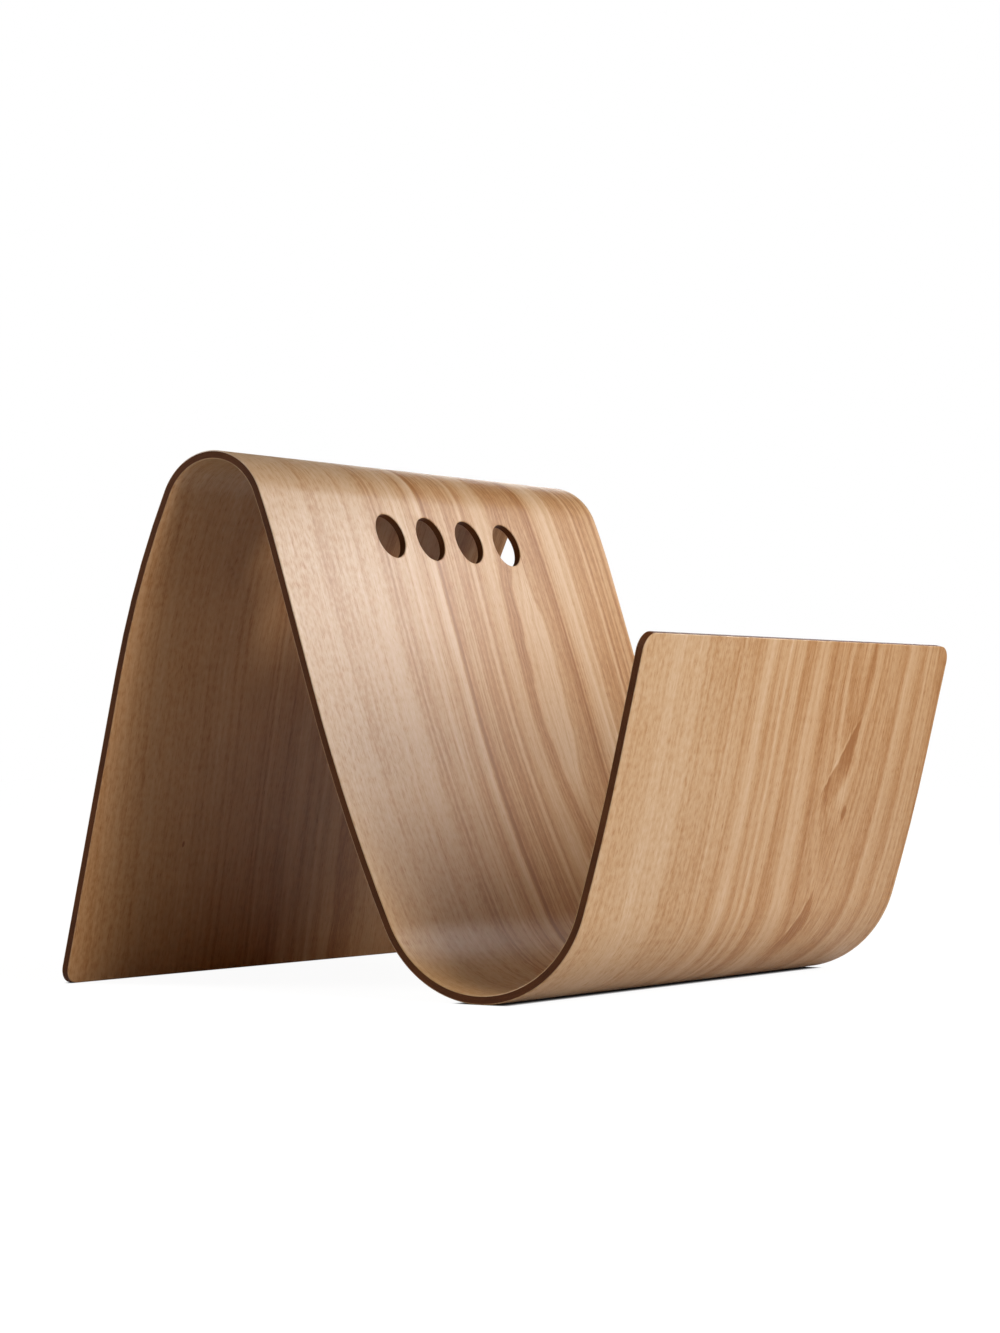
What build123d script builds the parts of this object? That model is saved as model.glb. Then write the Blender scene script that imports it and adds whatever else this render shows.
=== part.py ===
from build123d import *
from math import cos, radians, sin
import os

# Magazine rack of moulded plywood: one sheet of seven plies, glued and bent in one press.
# +Z is up and the floor is z = 0. X runs across the width. The pocket and its front panel are
# towards -Y, and the foot of the back leg is towards +Y. The origin is on the floor, under the
# middle of the rack. Millimetres and degrees.

WIDTH = 320.0

# The lay-up, from the underside to the face that is outside the arch and inside the pocket
FACE_VENEER = 0.6
CORE_PLY = 0.66
CORE_NAMES = [
    "core_ply_1_long",
    "core_ply_2_cross",
    "core_ply_3_long",
    "core_ply_4_cross",
    "core_ply_5_long",
]
SHEET = 2 * FACE_VENEER + len(CORE_NAMES) * CORE_PLY

# How far each straight stretch leans from the vertical
LEG_LEAN = 13.3
SLOPE_LEAN = 18.0
FRONT_LEAN = 13.8

# Radii are those of the middle of the sheet. Each tight bend runs out into long easing curves.
ARCH_RADIUS = 31.9
ARCH_BACK_EASE = (461.0, 12.3)
ARCH_FRONT_EASE = (429.0, 4.5)
SLOPE_RUN = 73.1
SCOOP_RADIUS = 60.8
SCOOP_BACK_EASE = (926.0, 7.85)
SCOOP_FRONT_EASE = (1122.0, 3.9)
FRONT_RUN = 62.7
CORNER_RADIUS = 9.0

# The finger holes that the rack is carried by, in a row on the pocket side of the arch
HOLE_DIAMETER = 24.8
HOLE_PITCH = 37.0
HOLE_COUNT = 4
HOLES_ABOVE_SLOPE = 13.4  # along the easing curve, from the end of the straight slope


def bend(before, radius, turn):
    """Draw an arc that carries on from the end of an edge. A turn to the right is negative."""
    return JernArc(before @ 1, before % 1, radius, turn)


def front_half(rise):
    """Draw the sheet from under the scoop to the lip, this far above its middle. Return the end."""
    radius, turn = SCOOP_FRONT_EASE
    scoop = JernArc((0, SHEET / 2 + rise), (1, 0), SCOOP_RADIUS - rise, 90 - FRONT_LEAN - turn)
    ease = bend(scoop, radius - rise, turn)
    front = Line(ease @ 1, ease @ 1 + (ease % 1) * FRONT_RUN)
    return front


def back_half(rise):
    """Draw the sheet from under the scoop, over the arch, to the foot. Return the hole curve and leg."""
    radius, turn = SCOOP_BACK_EASE
    scoop = JernArc((0, SHEET / 2 + rise), (-1, 0), SCOOP_RADIUS - rise, SLOPE_LEAN + turn - 90)
    scoop_ease = bend(scoop, radius - rise, -turn)
    slope = Line(scoop_ease @ 1, scoop_ease @ 1 + (scoop_ease % 1) * SLOPE_RUN)
    radius, front_turn = ARCH_FRONT_EASE
    hole_curve = bend(slope, radius + rise, front_turn)
    back_radius, back_turn = ARCH_BACK_EASE
    arch = bend(hole_curve, ARCH_RADIUS + rise, 180 - SLOPE_LEAN - LEG_LEAN - front_turn - back_turn)
    arch_ease = bend(arch, back_radius + rise, back_turn)
    leg_run = (arch_ease @ 1).Y / cos(radians(LEG_LEAN))
    leg = Line(arch_ease @ 1, arch_ease @ 1 + (arch_ease % 1) * leg_run)
    return hole_curve, leg


# The side view looks along +X, with the front to its right and its height upwards. Its plane puts
# the origin under the middle of the rack, halfway from the foot's back to the lip's front.
with BuildLine() as reach:
    front_half(-SHEET / 2)
    back_half(SHEET / 2)
side_box = reach.line.bounding_box()
SIDE = Plane(origin=(0, side_box.center().X, 0), x_dir=(0, -1, 0), z_dir=(-1, 0, 0))
FOOT = Plane(origin=(0, side_box.size.X / 2, 0), x_dir=(1, 0, 0), z_dir=(0, -1, 0))
ACROSS_FRONT = Axis((0, 0, 0), (0, cos(radians(FRONT_LEAN)), sin(radians(FRONT_LEAN))))

# The holes are drilled square to the sheet
with BuildLine():
    hole_curve, _ = back_half(0)
place = HOLES_ABOVE_SLOPE / hole_curve.length
uphill = SIDE.from_local_coords(hole_curve % place) - SIDE.origin
HOLES = Plane(
    origin=SIDE.from_local_coords(hole_curve @ place),
    x_dir=(1, 0, 0),
    z_dir=Vector(1, 0, 0).cross(uphill),
)


def make_ply(name, low, high):
    """Make and write the layer between two levels of the sheet, which count from its middle."""
    with BuildPart() as ply:
        with BuildSketch(SIDE):
            with BuildLine():
                under_front, over_front = front_half(low), front_half(high)
                _, under_leg = back_half(low)
                _, over_leg = back_half(high)
                Line(under_front @ 1, over_front @ 1)
                Line(under_leg @ 1, over_leg @ 1)
            make_face()
        extrude(amount=WIDTH / 2, both=True)
        fillet(ply.edges().filter_by(ACROSS_FRONT), CORNER_RADIUS)
        with BuildSketch(FOOT):
            Rectangle(WIDTH, CORNER_RADIUS, align=(Align.CENTER, Align.MIN))
            RectangleRounded(
                WIDTH, 3 * CORNER_RADIUS, CORNER_RADIUS, align=(Align.CENTER, Align.MIN), mode=Mode.SUBTRACT
            )
        extrude(amount=2 * SHEET, both=True, mode=Mode.SUBTRACT)
        with BuildSketch(HOLES):
            with GridLocations(HOLE_PITCH, 0, HOLE_COUNT, 1):
                Circle(HOLE_DIAMETER / 2)
        extrude(amount=SHEET, both=True, mode=Mode.SUBTRACT)
    ply.part.label = name
    export_step(ply.part, f"parts/{name}.step")


os.makedirs("parts", exist_ok=True)
level = FACE_VENEER - SHEET / 2
make_ply("underside_face_veneer", -SHEET / 2, level)
for name in CORE_NAMES:
    make_ply(name, level, level + CORE_PLY)
    level += CORE_PLY
make_ply("pocket_face_veneer", level, SHEET / 2)
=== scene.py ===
"""The looks of a moulded plywood magazine rack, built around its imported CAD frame.

The rack is one bent sheet of seven glued plies. Each ply is its own piece: two faces on the sheet's
developed surface and a rim around its outline and its four finger holes. Everything is in metres.
"""

import math

import bpy
import numpy as np
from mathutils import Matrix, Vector


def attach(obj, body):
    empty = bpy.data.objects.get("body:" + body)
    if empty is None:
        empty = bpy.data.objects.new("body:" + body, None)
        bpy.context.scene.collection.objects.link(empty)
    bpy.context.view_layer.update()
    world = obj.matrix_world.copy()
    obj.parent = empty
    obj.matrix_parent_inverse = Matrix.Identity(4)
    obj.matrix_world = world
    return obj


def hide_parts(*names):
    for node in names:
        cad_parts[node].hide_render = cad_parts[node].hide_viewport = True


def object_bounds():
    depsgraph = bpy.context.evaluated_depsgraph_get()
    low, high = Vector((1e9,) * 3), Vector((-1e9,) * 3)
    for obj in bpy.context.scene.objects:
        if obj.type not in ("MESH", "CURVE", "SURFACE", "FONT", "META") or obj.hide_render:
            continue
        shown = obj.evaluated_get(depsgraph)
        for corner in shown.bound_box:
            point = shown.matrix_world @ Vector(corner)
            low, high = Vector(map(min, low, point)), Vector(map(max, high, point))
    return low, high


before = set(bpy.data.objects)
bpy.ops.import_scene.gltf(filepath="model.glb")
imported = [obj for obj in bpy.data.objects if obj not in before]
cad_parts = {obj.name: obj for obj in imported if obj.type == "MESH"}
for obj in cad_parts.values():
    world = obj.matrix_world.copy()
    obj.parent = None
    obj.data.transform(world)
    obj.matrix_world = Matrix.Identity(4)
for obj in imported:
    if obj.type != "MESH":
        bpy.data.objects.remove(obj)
cad_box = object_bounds()
low_corner, high_corner = (np.array(corner) for corner in cad_box)

MM = 0.001

# The lay-up, from the underside to the pocket's face
FACE_VENEER = 0.6 * MM
CORE_PLY = 0.66 * MM
PLIES = {
    "underside_face_veneer": FACE_VENEER,
    "core_ply_1_long": CORE_PLY,
    "core_ply_2_cross": CORE_PLY,
    "core_ply_3_long": CORE_PLY,
    "core_ply_4_cross": CORE_PLY,
    "core_ply_5_long": CORE_PLY,
    "pocket_face_veneer": FACE_VENEER,
}
SHEET = sum(PLIES.values())

# The bends of the middle of the sheet, with the same radii and leans as the CAD, from lip to foot
FRONT_LEAN, SLOPE_LEAN, LEG_LEAN = (math.radians(lean) for lean in (13.8, 18.0, 13.3))
FRONT_RUN = 62.7 * MM
SCOOP_FRONT_EASE = (1122.0 * MM, math.radians(3.9))
SCOOP_RADIUS = 60.8 * MM
SCOOP_BACK_EASE = (926.0 * MM, math.radians(7.85))
SLOPE_RUN = 73.1 * MM
ARCH_FRONT_EASE = (429.0 * MM, math.radians(4.5))
ARCH_RADIUS = 31.9 * MM
ARCH_BACK_EASE = (461.0 * MM, math.radians(12.3))
CORNER_RADIUS = 9.0 * MM

HOLE_RADIUS = 12.4 * MM
HOLE_PITCH = 37.0 * MM
HOLE_COUNT = 4
HOLES_ABOVE_SLOPE = 13.4 * MM

ARRIS = 0.6 * MM  # the sheet's outer edges are eased to this radius
STAIN_ENDS = math.radians(15)  # how far round the arris the edge's dark stain reaches

# How finely the meshes are divided
BEND_STEP = math.radians(3)
STRAIGHT_STEP = 20 * MM
CORNER_STEPS = 8
HOLE_STEPS = 16
HOLE_RINGS = 5
ARRIS_STEPS = 6
TINY = 1e-6  # two places nearer than this are the same


# ---------------------------------------------------------------- the bent sheet


class Bends:
    """The side view's middle line: straight runs and arcs, measured from the lip to the foot."""

    def __init__(self):
        self.starts, self.points, self.headings, self.curves = [], [], [], []
        self.length = 0.0
        self.point = np.zeros(2)
        self.heading = FRONT_LEAN - math.pi / 2

    def run(self, length, turn=0.0):
        """Go on for a length, turning evenly to the left. Return where this run starts."""
        start = self.length
        self.starts.append(start)
        self.points.append(self.point)
        self.headings.append(self.heading)
        self.curves.append(turn / length)
        self.length += length
        self.point = self.at(self.length)[0]
        self.heading += turn
        return start

    def bend(self, radius, turn):
        return self.run(radius * abs(turn), turn)

    def at(self, s):
        """The middle line's points and headings at these distances from the lip."""
        s = np.asarray(s, float)
        piece = np.clip(np.searchsorted(self.starts, s, "right") - 1, 0, None)
        past = s - np.array(self.starts)[piece]
        heading = np.array(self.headings)[piece]
        curve = np.array(self.curves)[piece]
        straight = curve == 0
        bent = np.where(straight, 1.0, curve)
        ahead = heading + curve * past
        round_y = (np.sin(ahead) - np.sin(heading)) / bent
        round_z = (np.cos(heading) - np.cos(ahead)) / bent
        along_y = np.where(straight, past * np.cos(heading), round_y)
        along_z = np.where(straight, past * np.sin(heading), round_z)
        points = np.array(self.points)[piece] + np.stack([along_y, along_z], -1)
        return points, ahead

    def normals(self, s):
        """The unit vectors square to the sheet, on the pocket's side."""
        _, ahead = self.at(s)
        return np.stack([np.zeros_like(ahead), -np.sin(ahead), np.cos(ahead)], -1)

    def place(self, s, x, rise):
        """Points in space: so far along and across the sheet, and this far above its middle."""
        points, _ = self.at(s)
        return np.column_stack([x, points]) + rise * self.normals(s)


def lay_out_bends():
    """Walk the sheet from lip to foot, and set it on the floor in the CAD's place."""
    bends = Bends()
    bends.run(FRONT_RUN)
    bends.bend(*SCOOP_FRONT_EASE)
    scoop_turn = math.pi - FRONT_LEAN - SLOPE_LEAN - SCOOP_FRONT_EASE[1] - SCOOP_BACK_EASE[1]
    scoop = bends.bend(SCOOP_RADIUS, scoop_turn)
    bends.bend(*SCOOP_BACK_EASE)
    bends.run(SLOPE_RUN)
    radius, turn = ARCH_FRONT_EASE
    bends.slope_end = bends.bend(radius, -turn)
    arch_turn = math.pi - SLOPE_LEAN - LEG_LEAN - ARCH_FRONT_EASE[1] - ARCH_BACK_EASE[1]
    bends.bend(ARCH_RADIUS, -arch_turn)
    radius, turn = ARCH_BACK_EASE
    bends.bend(radius, -turn)
    # the underside of the scoop's lowest point lies on the floor
    to_bottom = SCOOP_RADIUS * (math.pi / 2 - FRONT_LEAN - SCOOP_FRONT_EASE[1])
    bottom = bends.at(scoop + to_bottom)[0]
    lip = bends.place(np.zeros(1), np.zeros(1), -SHEET / 2)[0]
    shift = np.array([low_corner[1] - lip[1], SHEET / 2 - bottom[1]])
    bends.points = [point + shift for point in bends.points]
    bends.point = bends.point + shift
    bends.run(bends.point[1] / math.cos(LEG_LEAN))
    return bends


BENDS = lay_out_bends()
LENGTH = BENDS.length
HALF_WIDTH = high_corner[0]
HOLE_ROW = BENDS.slope_end + HOLES_ABOVE_SLOPE
FOOT_RADIUS = CORNER_RADIUS / math.cos(LEG_LEAN)  # the foot's corners are round as seen level


def divide(stops, step):
    """Split each span between stops into equal steps no longer than this."""
    values = [stops[0]]
    for start, end in zip(stops, stops[1:]):
        count = max(1, math.ceil((end - start) / step - TINY))
        values += list(np.linspace(start, end, count + 1)[1:])
    return values


class Plan:
    """The flat sheet's grid, with a ring of quads round each hole and its corners rounded.

    Every level of every ply uses this one plan, so their edges meet point to point."""

    def __init__(self):
        self.block = HOLE_PITCH / 2
        self.rows = self.row_places()
        self.columns = self.column_places()
        self.hole_places = [(i - (HOLE_COUNT - 1) / 2) * HOLE_PITCH for i in range(HOLE_COUNT)]
        self.along, self.across, self.share, self.hole_x, self.angle = [], [], [], [], []
        self.quads = []
        self.number = {}
        for row, s in enumerate(self.rows):
            for column, x in enumerate(self.columns):
                if not self.inside_block(s, x):
                    self.number[row, column] = self.add_point(s, x)
        self.add_grid_quads()
        self.loops = [self.outline()]
        for place in self.hole_places:
            self.loops.append(self.add_hole(place))
        for name in ("along", "across", "share", "hole_x", "angle"):
            setattr(self, name, np.array(getattr(self, name)))
        self.quads = np.array(self.quads)

    def row_places(self):
        """Rows along the sheet: fine in the corners, beside the holes and round the bends."""
        rows = divide([0, CORNER_RADIUS], CORNER_RADIUS / CORNER_STEPS)
        low_block, high_block = HOLE_ROW - self.block, HOLE_ROW + self.block
        last = LENGTH - FOOT_RADIUS
        stops = [*BENDS.starts[1:], last]
        for stop in stops:
            if rows[-1] < low_block < stop:
                rows += divide([rows[-1], low_block], STRAIGHT_STEP)[1:]
                rows += divide([low_block, high_block], HOLE_PITCH / HOLE_STEPS)[1:]
            if stop > rows[-1]:
                curve = abs(BENDS.curves[np.searchsorted(BENDS.starts, rows[-1] + TINY) - 1])
                step = STRAIGHT_STEP if curve == 0 else min(STRAIGHT_STEP, BEND_STEP / curve)
                rows += divide([rows[-1], stop], step)[1:]
        return rows + divide([last, LENGTH], FOOT_RADIUS / CORNER_STEPS)[1:]

    def column_places(self):
        """Columns across the sheet: fine in the corners and beside the holes."""
        corner = HALF_WIDTH - CORNER_RADIUS
        blocks = self.block * HOLE_COUNT
        right = divide([blocks, corner], STRAIGHT_STEP) + divide(
            [corner, HALF_WIDTH], CORNER_RADIUS / CORNER_STEPS
        )[1:]
        middle = divide([-blocks, blocks], HOLE_PITCH / HOLE_STEPS)
        return [-x for x in reversed(right)] + middle[1:-1] + right

    def inside_block(self, s, x):
        """Is this place within the row of square blocks that the holes' rings fill?"""
        across = abs(x) < self.block * HOLE_COUNT - TINY
        at_side = min(abs(x - side) for side in self.block_sides()) < TINY
        return abs(s - HOLE_ROW) < self.block - TINY and across and not at_side

    def block_sides(self):
        return [(i - HOLE_COUNT / 2) * HOLE_PITCH for i in range(HOLE_COUNT + 1)]

    def add_point(self, s, x, share=0.0, hole_x=0.0, angle=0.0):
        """Note one point, and how far it has gone from the grid to a hole's rim."""
        self.along.append(s)
        self.across.append(x)
        self.share.append(share)
        self.hole_x.append(hole_x)
        self.angle.append(angle)
        return len(self.along) - 1

    def add_grid_quads(self):
        for row in range(len(self.rows) - 1):
            for column in range(len(self.columns) - 1):
                middle_s = (self.rows[row] + self.rows[row + 1]) / 2
                middle_x = (self.columns[column] + self.columns[column + 1]) / 2
                if not self.inside_block(middle_s, middle_x):
                    near, far = (row, column), (row + 1, column + 1)
                    corners = [near, (row, column + 1), far, (row + 1, column)]
                    self.quads.append([self.number[corner] for corner in corners])

    def outline(self):
        """The outer loop, anticlockwise as seen from the pocket's side."""
        top, right = len(self.rows) - 1, len(self.columns) - 1
        loop = [(0, column) for column in range(right)]
        loop += [(row, right) for row in range(top)]
        loop += [(top, column) for column in range(right, 0, -1)]
        loop += [(row, 0) for row in range(top, 0, -1)]
        return [self.number[corner] for corner in loop]

    def block_border(self, place):
        """A block's border, anticlockwise from its far right corner."""
        rows = [i for i, s in enumerate(self.rows) if abs(s - HOLE_ROW) < self.block + TINY]
        columns = [i for i, x in enumerate(self.columns) if abs(x - place) < self.block + TINY]
        border = [(rows[-1], column) for column in reversed(columns[1:])]
        border += [(row, columns[0]) for row in reversed(rows[1:])]
        border += [(rows[0], column) for column in columns[:-1]]
        border += [(row, columns[-1]) for row in rows[:-1]]
        return [self.number[corner] for corner in border]

    def add_hole(self, place):
        """Fill a block with rings that turn from its square border to the round hole."""
        ring = border = self.block_border(place)
        count = len(border)
        for turn in range(1, HOLE_RINGS + 1):
            inner = []
            for i, point in enumerate(border):
                angle = math.pi / 4 + 2 * math.pi * i / count
                share = turn / HOLE_RINGS
                s, x = self.along[point], self.across[point]
                inner.append(self.add_point(s, x, share, place, angle))
            for i in range(count):
                after = (i + 1) % count
                self.quads.append([ring[i], ring[after], inner[after], inner[i]])
            ring = inner
        return ring[::-1]

    def flat(self, rise, inset):
        """Distances along and across the sheet of every point, at one level of the sheet.

        The outline and the holes' rims are drawn in by the inset."""
        round_x = CORNER_RADIUS - inset
        u = np.clip((np.abs(self.across) - HALF_WIDTH + CORNER_RADIUS) / CORNER_RADIUS, 0, 1)
        to_lip = np.clip(1 - self.along / CORNER_RADIUS, 0, 1)
        to_foot = np.clip((self.along - LENGTH) / FOOT_RADIUS + 1, 0, 1)
        v = to_lip + to_foot
        # a square corner becomes a round one
        round_u = u * np.sqrt(1 - v**2 / 2)
        round_v = v * np.sqrt(1 - u**2 / 2)
        side = np.sign(self.across)
        x = np.where(u > 0, side * (HALF_WIDTH - CORNER_RADIUS + round_u * round_x), self.across)
        foot_length = FOOT_RADIUS + rise * math.tan(LEG_LEAN) - inset
        s = np.where(to_lip > 0, CORNER_RADIUS - round_v * round_x, self.along)
        s = np.where(to_foot > 0, LENGTH - FOOT_RADIUS + round_v * foot_length, s)
        radius = HOLE_RADIUS + inset
        hole_s = HOLE_ROW + radius * np.sin(self.angle) / (1 + rise / ARCH_FRONT_EASE[0])
        hole_x = self.hole_x + radius * np.cos(self.angle)
        return s + self.share * (hole_s - s), x + self.share * (hole_x - x)


PLAN = Plan()


class Level:
    """One level of the sheet: its height above the middle, and how far its edge is eased there."""

    def __init__(self, rise):
        self.rise = rise
        past = max(0.0, abs(rise) - (SHEET / 2 - ARRIS))
        self.lean = math.asin(min(1.0, past / ARRIS)) * (1 if rise > 0 else -1)
        self.inset = ARRIS * (1 - math.cos(self.lean))
        self.stain = max(0.0, 1 - abs(self.lean) / STAIN_ENDS)
        self.s, self.x = PLAN.flat(rise, self.inset)
        self.points = BENDS.place(self.s, self.x, rise)

    def sheet(self):
        """The shader's coordinates: across the sheet, along it and through it."""
        return np.column_stack([self.x, self.s, np.full_like(self.s, self.rise)])


def levels_between(low, high):
    """The levels of one ply: its two faces, and the steps of the arris between them."""
    rises = [low, high]
    for step in range(ARRIS_STEPS):
        rise = SHEET / 2 - ARRIS + ARRIS * math.sin(math.pi / 2 * step / ARRIS_STEPS)
        rises += [side for side in (-rise, rise) if low + TINY < side < high - TINY]
    return [Level(rise) for rise in sorted(rises)]


def rim_normals(level, loop, through):
    """Which way the rim faces at each point of a loop, eased over to the face at the arris."""
    points = level.points[loop]
    tangent = np.roll(points, -1, 0) - np.roll(points, 1, 0)
    outward = np.cross(tangent, through)
    outward /= np.linalg.norm(outward, axis=1)[:, None]
    normal = math.cos(level.lean) * outward + math.sin(level.lean) * BENDS.normals(level.s[loop])
    return normal / np.linalg.norm(normal, axis=1)[:, None]


def make_ply(name, low, high, material):
    """Build one ply between two levels: its two faces, and bands of quads round every rim."""
    levels = levels_between(low, high)
    bottom, top = levels[0], levels[-1]
    count = len(PLAN.along)
    points = [bottom.points, top.points]
    sheet = [bottom.sheet(), top.sheet()]
    faces = [PLAN.quads[:, ::-1], PLAN.quads + count]
    normals = [-BENDS.normals(bottom.s)[faces[0]], BENDS.normals(top.s)[PLAN.quads]]
    rim = [np.zeros((2 * len(PLAN.quads), 4))]
    total = 2 * count
    for loop in PLAN.loops:
        loop = np.array(loop)
        through = BENDS.normals(bottom.s[loop])
        foot = LENGTH - bottom.s[loop] < FOOT_RADIUS / 2
        through[foot & (np.abs(bottom.x[loop]) < HALF_WIDTH - CORNER_RADIUS / 2)] = (0, 1, 0)
        ring, facing = loop, rim_normals(bottom, loop, through)
        for below, level in zip(levels, levels[1:]):
            if level is top:
                above = loop + count
            else:
                above = np.arange(len(loop)) + total
                total += len(loop)
                points.append(level.points[loop])
                sheet.append(level.sheet()[loop])
            facing_above = rim_normals(level, loop, through)
            after, facing_after = np.roll(ring, -1), np.roll(facing, -1, 0)
            after_above, facing_after_above = np.roll(above, -1), np.roll(facing_above, -1, 0)
            faces.append(np.column_stack([ring, after, after_above, above]))
            normals.append(np.stack([facing, facing_after, facing_after_above, facing_above], 1))
            edge, edge_above = below.stain, level.stain
            rim.append(np.tile([edge, edge, edge_above, edge_above], (len(loop), 1)))
            ring, facing = above, facing_above
    mesh = bpy.data.meshes.new(name)
    mesh.from_pydata(np.concatenate(points), [], np.concatenate(faces).tolist())
    mesh.shade_smooth()
    mesh.normals_split_custom_set(np.concatenate(normals).reshape(-1, 3))
    layer = mesh.attributes.new("sheet", "FLOAT_VECTOR", "POINT")
    layer.data.foreach_set("vector", np.concatenate(sheet).ravel())
    layer = mesh.attributes.new("rim", "FLOAT", "CORNER")
    layer.data.foreach_set("value", np.concatenate(rim).ravel())
    mesh.materials.append(material)
    ply = bpy.data.objects.new(name + "_wood", mesh)
    bpy.context.scene.collection.objects.link(ply)
    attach(ply, "root")
    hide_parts(name)
    return ply


# ---------------------------------------------------------------- materials


class Field:
    """A number that varies over the surface: one output of a material's nodes, with arithmetic."""

    def __init__(self, tree, socket):
        self.tree, self.socket = tree, socket

    def math(self, operation, *others):
        node = self.tree.nodes.new("ShaderNodeMath")
        node.operation = operation
        for slot, value in zip(node.inputs, (self, *others)):
            feed(slot, value)
        return Field(self.tree, node.outputs[0])

    def __add__(self, other):
        return self.math("ADD", other)

    def __sub__(self, other):
        return self.math("SUBTRACT", other)

    def __mul__(self, other):
        return self.math("MULTIPLY", other)

    def __truediv__(self, other):
        return self.math("DIVIDE", other)

    def __rsub__(self, other):
        return self.math("MULTIPLY_ADD", -1.0, other)

    __radd__, __rmul__ = __add__, __mul__

    def rise(self, low, high):
        """Climb smoothly from 0 to 1 as this number goes from low to high."""
        node = self.tree.nodes.new("ShaderNodeMapRange")
        node.interpolation_type = "SMOOTHSTEP"
        feed(node.inputs["Value"], self)
        feed(node.inputs["From Min"], low)
        feed(node.inputs["From Max"], high)
        return Field(self.tree, node.outputs["Result"])

    def blend(self, low, high):
        """Go from one number or field to another as this one goes from 0 to 1."""
        return low + self * (high - low)

    def ramp(self, low, high, stops):
        """Look this number up between low and high in a list of (place, tone or colour)."""
        node = self.tree.nodes.new("ShaderNodeValToRGB")
        elements = node.color_ramp.elements
        places = [(place - low) / (high - low) for place, _ in stops]
        elements[0].position, elements[1].position = places[0], places[-1]
        for place in places[1:-1]:
            elements.new(place)
        for element, (_, tone) in zip(elements, stops):
            element.color = (*tone, 1) if isinstance(tone, tuple) else (tone, tone, tone, 1)
        feed(node.inputs["Fac"], (self - low) / (high - low))
        return Field(self.tree, node.outputs["Color"])


def feed(slot, value):
    """Link a field to a socket, or set a plain number or colour on the socket itself."""
    if isinstance(value, Field):
        value.tree.links.new(value.socket, slot)
    else:
        slot.default_value = value


class Surface:
    """One material's nodes, with the place on the flat sheet in millimetres to paint it by."""

    def __init__(self, name):
        self.material = bpy.data.materials.new(name)
        self.material.use_nodes = True
        self.tree = self.material.node_tree
        self.shader = self.tree.nodes["Principled BSDF"]
        place = self.attribute("sheet", "Vector")
        split = self.tree.nodes.new("ShaderNodeSeparateXYZ")
        feed(split.inputs[0], place)
        self.x, self.s, self.rise = (Field(self.tree, socket) / MM for socket in split.outputs)

    def attribute(self, name, output):
        node = self.tree.nodes.new("ShaderNodeAttribute")
        node.attribute_name = name
        return Field(self.tree, node.outputs[output])

    def noise(self, sizes, seed, detail=1.0):
        """Smooth noise about 0, with lumps of these sizes in millimetres across, along and through.

        The seed moves it, so that no two noises are alike."""
        node = self.tree.nodes.new("ShaderNodeTexNoise")
        node.noise_dimensions = "3D" if len(sizes) == 3 else "2D"
        place = self.tree.nodes.new("ShaderNodeCombineXYZ")
        for slot, way, size in zip(place.inputs, (self.x, self.s, self.rise), sizes):
            feed(slot, way / size + seed)
        feed(node.inputs["Vector"], Field(self.tree, place.outputs[0]))
        feed(node.inputs["Scale"], 1.0)
        feed(node.inputs["Detail"], detail)
        return Field(self.tree, node.outputs["Fac"]) - 0.5

    def streaks(self, place, size, detail):
        """Noise in one direction only, which draws bands along the lines of equal place."""
        node = self.tree.nodes.new("ShaderNodeTexNoise")
        node.noise_dimensions = "1D"
        feed(node.inputs["W"], place / size)
        feed(node.inputs["Scale"], 1.0)
        feed(node.inputs["Detail"], detail)
        return Field(self.tree, node.outputs["Fac"]) - 0.5

    def mix(self, share, low, high, way="MIX"):
        """Blend two colours, or multiply the first by the second."""
        node = self.tree.nodes.new("ShaderNodeMix")
        node.data_type = "RGBA"
        node.blend_type = way
        first_colour, second_colour = node.inputs[6:8]
        feed(node.inputs["Factor"], share)
        feed(first_colour, low)
        feed(second_colour, high)
        return Field(self.tree, node.outputs[2])

    def bump(self, height, depth):
        """Let a field from 0 to 1 stand up from the surface by this depth."""
        node = self.tree.nodes.new("ShaderNodeBump")
        feed(node.inputs["Height"], height)
        feed(node.inputs["Distance"], depth)
        feed(self.shader.inputs["Normal"], Field(self.tree, node.outputs["Normal"]))


# The finish: clear satin lacquer on the faces, a dark stain on every edge
DARK_RING = (0.310, 0.122, 0.032)
DARK_WOOD = (0.426, 0.211, 0.081)
PLAIN_WOOD = (0.510, 0.294, 0.141)
LIGHT_WOOD = (0.564, 0.352, 0.193)
PALE_RING = (0.626, 0.425, 0.265)
EDGE_DARK = (0.058, 0.016, 0.004)
EDGE_LIGHT = (0.16, 0.05, 0.013)

WOOD = [(0.0, DARK_RING), (0.3, DARK_WOOD), (0.5, PLAIN_WOOD), (0.75, LIGHT_WOOD), (1.0, PALE_RING)]
PLAIN_TONE = 0.5

# Places on the flat sheet, in millimetres along from the lip or across from the middle
LEG_START = 560.0
LEG_GRAIN_LEAN = 0.09  # mm across for each mm down the leg
RING_SPAN = (-165, 165)
FIGURED = (-95, -25)  # the grain goes from straight and mottled to figured between these
SAPWOOD = (20, -110)  # the wood pales to sapwood between these, towards the left
GLOSSY = (250, 390)  # the lacquer is duller before these places than after them
GRAIN_RELIEF = 0.045 * MM

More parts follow.
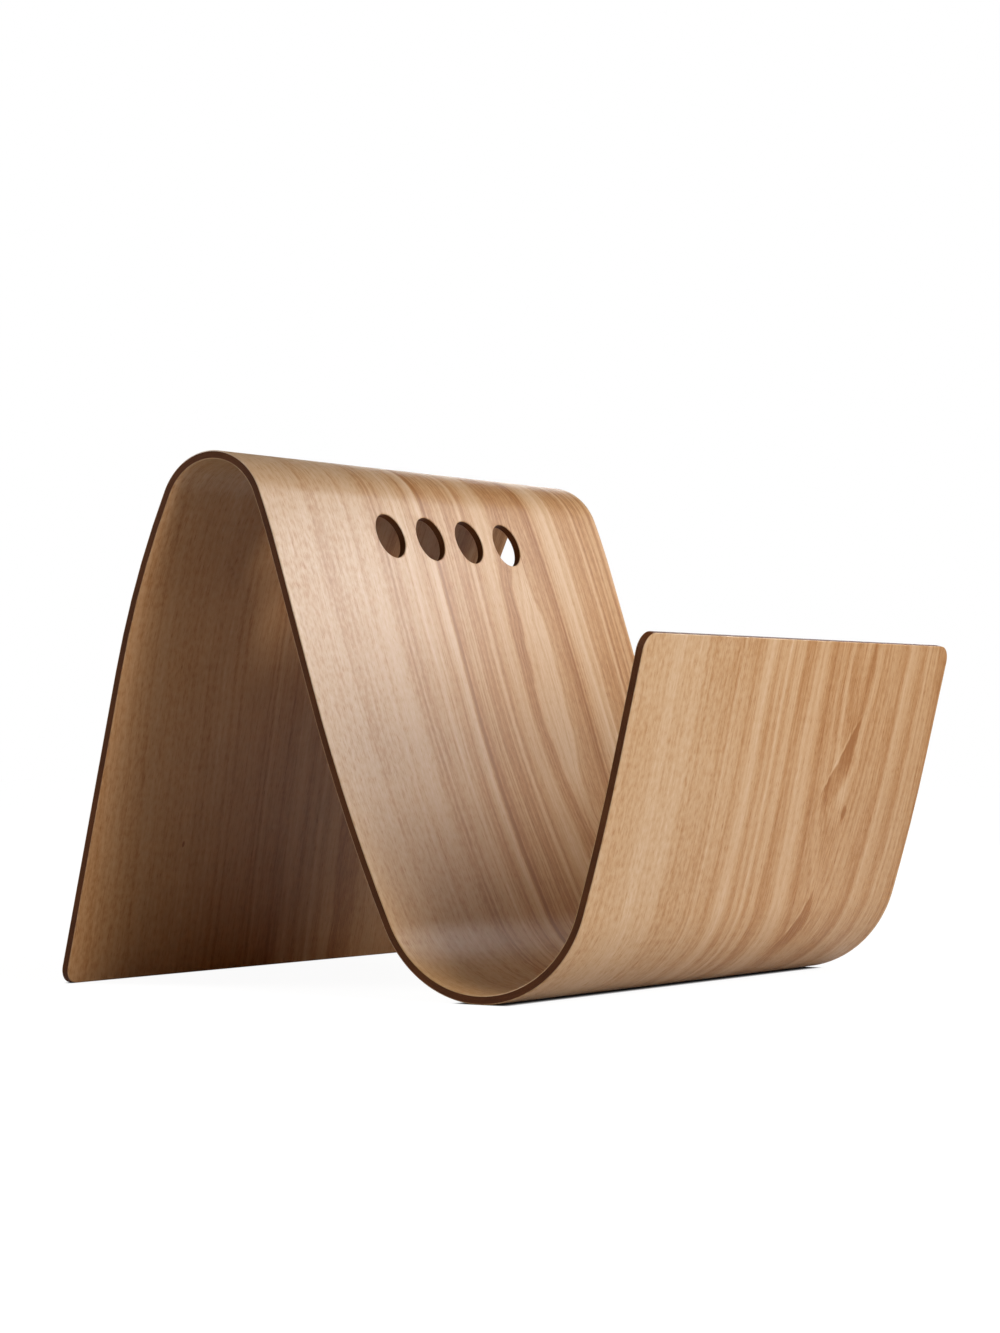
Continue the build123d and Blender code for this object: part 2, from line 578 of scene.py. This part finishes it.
# The growth rings of each face: (distance across the sheet in mm, tone), where 0.5 is plain wood.
# On the underside the rings spread towards the lip, and on the pocket's face they close round an
# island.
UNDERSIDE_RINGS = [
    (-160, 0.50), (-103, 0.62), (-97, 0.38), (-90, 0.52), (-56, 0.48), (-45, 0.30), (-35, 0.84),
    (-28, 0.36), (-22, 0.50), (-16, 0.80), (-12, 0.32), (-7, 0.78), (0, 0.18), (8, 0.50),
    (20, 0.76), (32, 0.26), (40, 0.54), (45, 0.28), (49, 0.76), (55, 0.20), (65, 0.60),
    (75, 0.20), (81, 0.76), (85, 0.28), (97, 0.54), (107, 0.24), (117, 0.78), (123, 0.50),
    (128, 0.22), (137, 0.52), (152, 0.26), (159, 0.50),
]
POCKET_RINGS = [
    (-160, 0.52), (-130, 0.52), (-122, 0.42), (-114, 0.52), (-90, 0.48), (-83, 0.62),
    (-76, 0.50), (-61, 0.34), (-47, 0.62), (-32, 0.34), (-26, 0.88), (-18, 0.08), (-8, 0.56),
    (0, 0.28), (12, 0.58), (22, 0.40), (29, 0.90), (37, 0.44), (43, 0.20), (49, 0.78),
    (60, 0.68), (71, 0.78), (77, 0.24), (82, 0.50), (88, 0.06), (96, 0.58), (109, 0.84),
    (118, 0.48), (127, 0.22), (136, 0.56), (146, 0.30), (154, 0.54),
]


def flame(surface, x, s, turn, length, width):
    """A dark flame of wild grain, turned from the grain by this many degrees.

    It is pointed at its top and widens downwards, and its left edge is sharp and pale."""
    cosine, sine = math.cos(math.radians(turn)), math.sin(math.radians(turn))
    across = (surface.x - x) * cosine + (surface.s - s) * sine + surface.noise((9, 9), x) * 3
    along = (surface.s - s) * cosine - (surface.x - x) * sine
    spread = along.rise(-length / 2, 0.0)
    back = spread.blend(1.5, width)
    dark = across.rise(-0.5, 0.7) * (across / back).rise(1.0, 0.6)
    dark = dark * along.rise(length / 2, length / 5)
    dark = dark * along.rise(-length / 2, -length / 3)
    pale = across.rise(-2.6, -1.3) * across.rise(0.0, -1.3)
    pale = pale * along.math("ABSOLUTE").rise(length / 2, length / 6)
    return pale * 0.2 - dark * spread.blend(0.34, 0.4)


def pin_knot(surface, x, s, width, depth):
    """A dark speck where a twig's pith was cut through."""
    across, along = (surface.x - x) / width, (surface.s - s) / (1.5 * width)
    return (across * across + along * along).rise(1.2, 0.2) * -depth


def face_veneer(
    name,
    rings,
    heart,
    heart_along,
    taper,
    widest,
    drift,
    contrast,
    fine,
    sapwood,
    painted_shade,
    gloss,
    marks,
):
    """One face of the rack: clear-lacquered veneer with open pores and a cathedral figure.

    The cathedral's rings are ovals about the heart. They narrow along the sheet by the taper until
    they are the widest apart, and beyond that they run straight. The heart drifts across the sheet.
    Contrast is the rings' and fine is the thin streaks' where the wood is figured. The sapwood's
    colour multiplies the wood's. The painted shade is a deeper, redder colour which, from the place
    where it starts to the place where it is full, multiplies the wood's where shade falls."""
    surface = Surface(name)
    x, s = surface.x, surface.s
    # the rings wander across the sheet, most of all near the heart and in the leg
    to_heart = x - (heart + (s - heart_along) * drift)
    near_heart = to_heart.math("ABSOLUTE").rise(34, 6)
    wild = surface.noise((13, 34), 41.9) * near_heart * 9
    down_leg = (s - LEG_START).math("MAXIMUM", 0.0) * LEG_GRAIN_LEAN
    to_heart = to_heart + surface.noise((70, 230), 3.1) * 8 + surface.noise((16, 90), 7.7) * 2.2
    to_heart = to_heart + wild - down_leg
    opening = ((s - heart_along) * (taper / widest)).math("TANH") * widest
    away = (to_heart * to_heart + opening * opening).math("SQRT")
    left, right = heart - away, heart + away
    side = to_heart.rise(-7, 7)
    tone = side.blend(left.ramp(*RING_SPAN, rings), right.ramp(*RING_SPAN, rings))
    place = side.blend(left, right)
    figured = x.rise(*FIGURED)
    strength = figured.blend(1.1, contrast)
    tone = PLAIN_TONE + (tone - PLAIN_TONE) * strength * near_heart.blend(1.0, 1.15)
    tone = tone + surface.streaks(place + 400, 4.2, 3) * figured.blend(0.45, fine)
    tone = tone + surface.streaks(place + 900, 15, 2) * 0.3
    for mark in marks:
        tone = tone + mark(surface)
    # the fibres, the open pores in short dashes, and a mottle where the grain is straight
    fibres = surface.noise((0.9, 22), 11.3, detail=2)
    pores = surface.noise((0.55, 5.5), 19.9, detail=1).rise(0.13, 0.24)
    mottle = surface.noise((2.7, 4.0), 23.3, detail=2)
    cloud = surface.noise((38, 120), 31.7, detail=1)
    tone = tone + fibres * figured.blend(0.36, 0.5) + mottle * figured.blend(0.52, 0.28)
    tone = tone + cloud * 0.3 - pores * 0.22
    wood = surface.mix(x.rise(*SAPWOOD), tone.ramp(0, 1, WOOD), sapwood, "MULTIPLY")
    # painted shade: a deeper, redder colour multiplies the wood's over the stretch where shade
    # falls (the scoop, and the leg's inside under the arch)
    painted_shade_starts, painted_shade_full, painted_shade_colour = painted_shade
    wood = surface.mix(s.rise(painted_shade_starts, painted_shade_full), wood, painted_shade_colour, "MULTIPLY")
    rim = surface.attribute("rim", "Fac")
    edge_streaks = surface.noise((0.35, 9), 5.5, detail=2)
    stain = (0.5 + edge_streaks).ramp(0, 1, [(0.2, EDGE_DARK), (0.8, EDGE_LIGHT)])
    feed(surface.shader.inputs["Base Color"], surface.mix(rim, wood, stain))
    feed(surface.shader.inputs["Specular IOR Level"], s.rise(*GLOSSY).blend(0.4, gloss))
    feed(surface.shader.inputs["Roughness"], rim.blend(0.41 - fibres * 0.14 + pores * 0.14, 0.6))
    surface.bump(0.5 + fibres * 0.7 - pores * 0.8, GRAIN_RELIEF)
    return surface.material


def core_ply(name, sizes, dark, light):
    """The dark-stained edge of a core ply, whose fibres are lumps of noise of these sizes in mm.

    A fine line of glue shows on either side of each ply."""
    surface = Surface(name)
    fibres = surface.noise(sizes, 2.2, detail=2)
    patches = surface.noise((25, 25), 8.8, detail=1)
    glue = (surface.rise / (CORE_PLY / MM)).math("PINGPONG", 0.5).rise(0.43, 0.5)
    tone = 0.5 + fibres * 1.3 + patches * 0.5 - glue * 0.35
    feed(surface.shader.inputs["Base Color"], tone.ramp(0, 1, [(0.1, dark), (0.9, light)]))
    feed(surface.shader.inputs["Specular IOR Level"], 0.15)
    feed(surface.shader.inputs["Roughness"], 0.55 + fibres * 0.2)
    surface.bump(0.5 + fibres, 0.04 * MM)
    return surface.material


# ---------------------------------------------------------------- the rack


def make_rack():
    long_ply = core_ply("core_long", (0.35, 9, 0.3), EDGE_DARK, EDGE_LIGHT)
    cross_ply = core_ply("core_cross", (9, 0.35, 0.3), EDGE_DARK, EDGE_LIGHT)
    materials = {
        "underside_face_veneer": face_veneer(
            "underside_face",
            UNDERSIDE_RINGS,
            heart=65,
            heart_along=0,
            taper=0.2,
            widest=55,
            drift=0.02,
            contrast=0.82,
            fine=0.72,
            sapwood=(1.0, 1.05, 1.12, 1.0),
            # painted shade: deeper and redder on the leg's inside, under the arch
            painted_shade=(520, 640, (1.06, 0.93, 0.79, 1.0)),
            gloss=0.5,
            marks=[
                lambda surface: flame(surface, x=59, s=62, turn=33, length=62, width=19),
                lambda surface: pin_knot(surface, x=77, s=92, width=3.0, depth=0.4),
                lambda surface: flame(surface, x=58, s=152, turn=22, length=44, width=15),
                lambda surface: pin_knot(surface, x=-83, s=784, width=1.3, depth=0.6),
            ],
        ),
        "pocket_face_veneer": face_veneer(
            "pocket_face",
            POCKET_RINGS,
            heart=60,
            heart_along=416,
            taper=0.21,
            widest=20,
            drift=0.0,
            contrast=1.02,
            fine=1.35,
            sapwood=(1.0, 1.09, 1.26, 1.0),
            # painted shade: deeper and redder down into the scoop and on the front's inner face
            painted_shade=(380, 270, (1.0, 0.91, 0.7, 1.0)),
            gloss=1.0,
            marks=[],
        ),
    }
    low = -SHEET / 2
    for name, thickness in PLIES.items():
        high = low + thickness
        if "veneer" in name:
            make_ply(name, low, high, materials[name])
        elif "cross" in name:
            make_ply(name, low, high, cross_ply)
        else:
            make_ply(name, low, high, long_ply)
        low = high


make_rack()


# ---------------------------------------------------------------- camera, lights and floor


def make_camera():
    data = bpy.data.cameras.new("camera")
    data.sensor_width = 36.0
    data.lens = 89.47
    camera = bpy.data.objects.new("camera", data)
    camera.location = (-1.4881, -0.9887, 0.1287)
    camera.rotation_euler = (math.radians(90 + 1.25), math.radians(0.14), math.radians(-56.18))
    bpy.context.scene.collection.objects.link(camera)
    bpy.context.scene.camera = camera


# The lamps: (direction round from +X, height angle, distance, width, power), in degrees, metres and
# watts. Two large ones stand in front, and a near one and a large one stand at the left. The fifth
# is close, and draws the sheen down the slope. The last two are behind, and light the top of the
# arch and the lip.
LAMPS = [
    (-90, 18, 2.2, 0.9, 6.4),
    (-90, 6, 2.2, 0.9, 14.6),
    (-105, 30, 1.2, 0.4, 5.9),
    (-115, 15, 2.2, 0.9, 2.4),
    (-38, 37, 0.52, 0.2, 0.9),
    (120, 35, 2.2, 0.9, 25.0),
    (27, 12, 2.2, 0.9, 11.0),
]
AIM = Vector((0.0, 0.0, 0.13))


def make_lamps():
    for number, (turn, height, distance, width, power) in enumerate(LAMPS):
        data = bpy.data.lights.new(f"lamp_{number}", "AREA")
        data.shape, data.size, data.energy = "DISK", width, power
        lamp = bpy.data.objects.new(f"lamp_{number}", data)
        turn, height = math.radians(turn), math.radians(height)
        level = math.cos(height)
        way = Vector((math.cos(turn) * level, math.sin(turn) * level, math.sin(height)))
        lamp.location = AIM + distance * way
        lamp.rotation_euler = (-way).to_track_quat("-Z", "Y").to_euler()
        lamp.visible_camera = False
        bpy.context.scene.collection.objects.link(lamp)


def seen_or_felt(tree, seen, felt):
    """Mix two shaders: one that the camera sees, and one that lights the rack."""
    path = tree.nodes.new("ShaderNodeLightPath")
    mix = tree.nodes.new("ShaderNodeMixShader")
    tree.links.new(path.outputs["Is Camera Ray"], mix.inputs["Fac"])
    tree.links.new(felt.outputs[0], mix.inputs[1])
    tree.links.new(seen.outputs[0], mix.inputs[2])
    return mix.outputs[0]


def floor_material():
    """White paper. Where it is seen it glows, so that little but a painted contact shadow shows:
    the glow is darkened by ambient occlusion where the rack stands close.
    """
    material = bpy.data.materials.new("floor")
    material.use_nodes = True
    tree = material.node_tree
    tree.nodes.remove(tree.nodes["Principled BSDF"])
    contact = tree.nodes.new("ShaderNodeAmbientOcclusion")
    contact.inputs["Distance"].default_value = 2.5 * MM
    glow = tree.nodes.new("ShaderNodeEmission")
    place = tree.nodes.new("ShaderNodeNewGeometry").outputs["Position"]
    away = tree.nodes.new("ShaderNodeVectorMath")
    away.operation = "LENGTH"
    tree.links.new(place, away.inputs[0])
    # away from the rack the floor brightens to the background's white
    far = Field(tree, away.outputs["Value"]).rise(0.2, 0.9)
    # painted contact shadow: the seen glow is darkened by ambient occlusion close under the rack
    clear_of_painted_shadow = Field(tree, contact.outputs["AO"]).rise(0.1, 0.95)
    feed(glow.inputs["Strength"], clear_of_painted_shadow * far.blend(0.95, 1.0))
    shaded = tree.nodes.new("ShaderNodeBsdfDiffuse")
    shaded.inputs["Color"].default_value = (0.1, 0.1, 0.1, 1)
    seen = tree.nodes.new("ShaderNodeAddShader")
    tree.links.new(glow.outputs[0], seen.inputs[0])
    tree.links.new(shaded.outputs[0], seen.inputs[1])
    paper = tree.nodes.new("ShaderNodeBsdfDiffuse")
    paper.inputs["Color"].default_value = (0.68, 0.68, 0.68, 1)
    tree.links.new(seen_or_felt(tree, seen, paper), tree.nodes["Material Output"].inputs["Surface"])
    return material


def make_floor():
    half = 6.0
    corners = [(-half, -half, 0), (half, -half, 0), (half, half, 0), (-half, half, 0)]
    mesh = bpy.data.meshes.new("floor")
    mesh.from_pydata(corners, [], [(0, 1, 2, 3)])
    floor = bpy.data.objects.new("floor", mesh)
    mesh.materials.append(floor_material())
    bpy.context.scene.collection.objects.link(floor)


def make_world():
    world = bpy.data.worlds.new("world")
    bpy.context.scene.world = world
    world.use_nodes = True
    tree = world.node_tree
    tree.nodes.remove(tree.nodes["Background"])
    seen = tree.nodes.new("ShaderNodeBackground")
    seen.inputs["Color"].default_value = (1, 1, 1, 1)
    felt = tree.nodes.new("ShaderNodeBackground")
    felt.inputs["Color"].default_value = (1, 1, 1, 1)
    felt.inputs["Strength"].default_value = 0.01
    tree.links.new(seen_or_felt(tree, seen, felt), tree.nodes["World Output"].inputs["Surface"])


make_camera()
make_lamps()
make_floor()
make_world()
bpy.context.scene.view_settings.view_transform = "Standard"
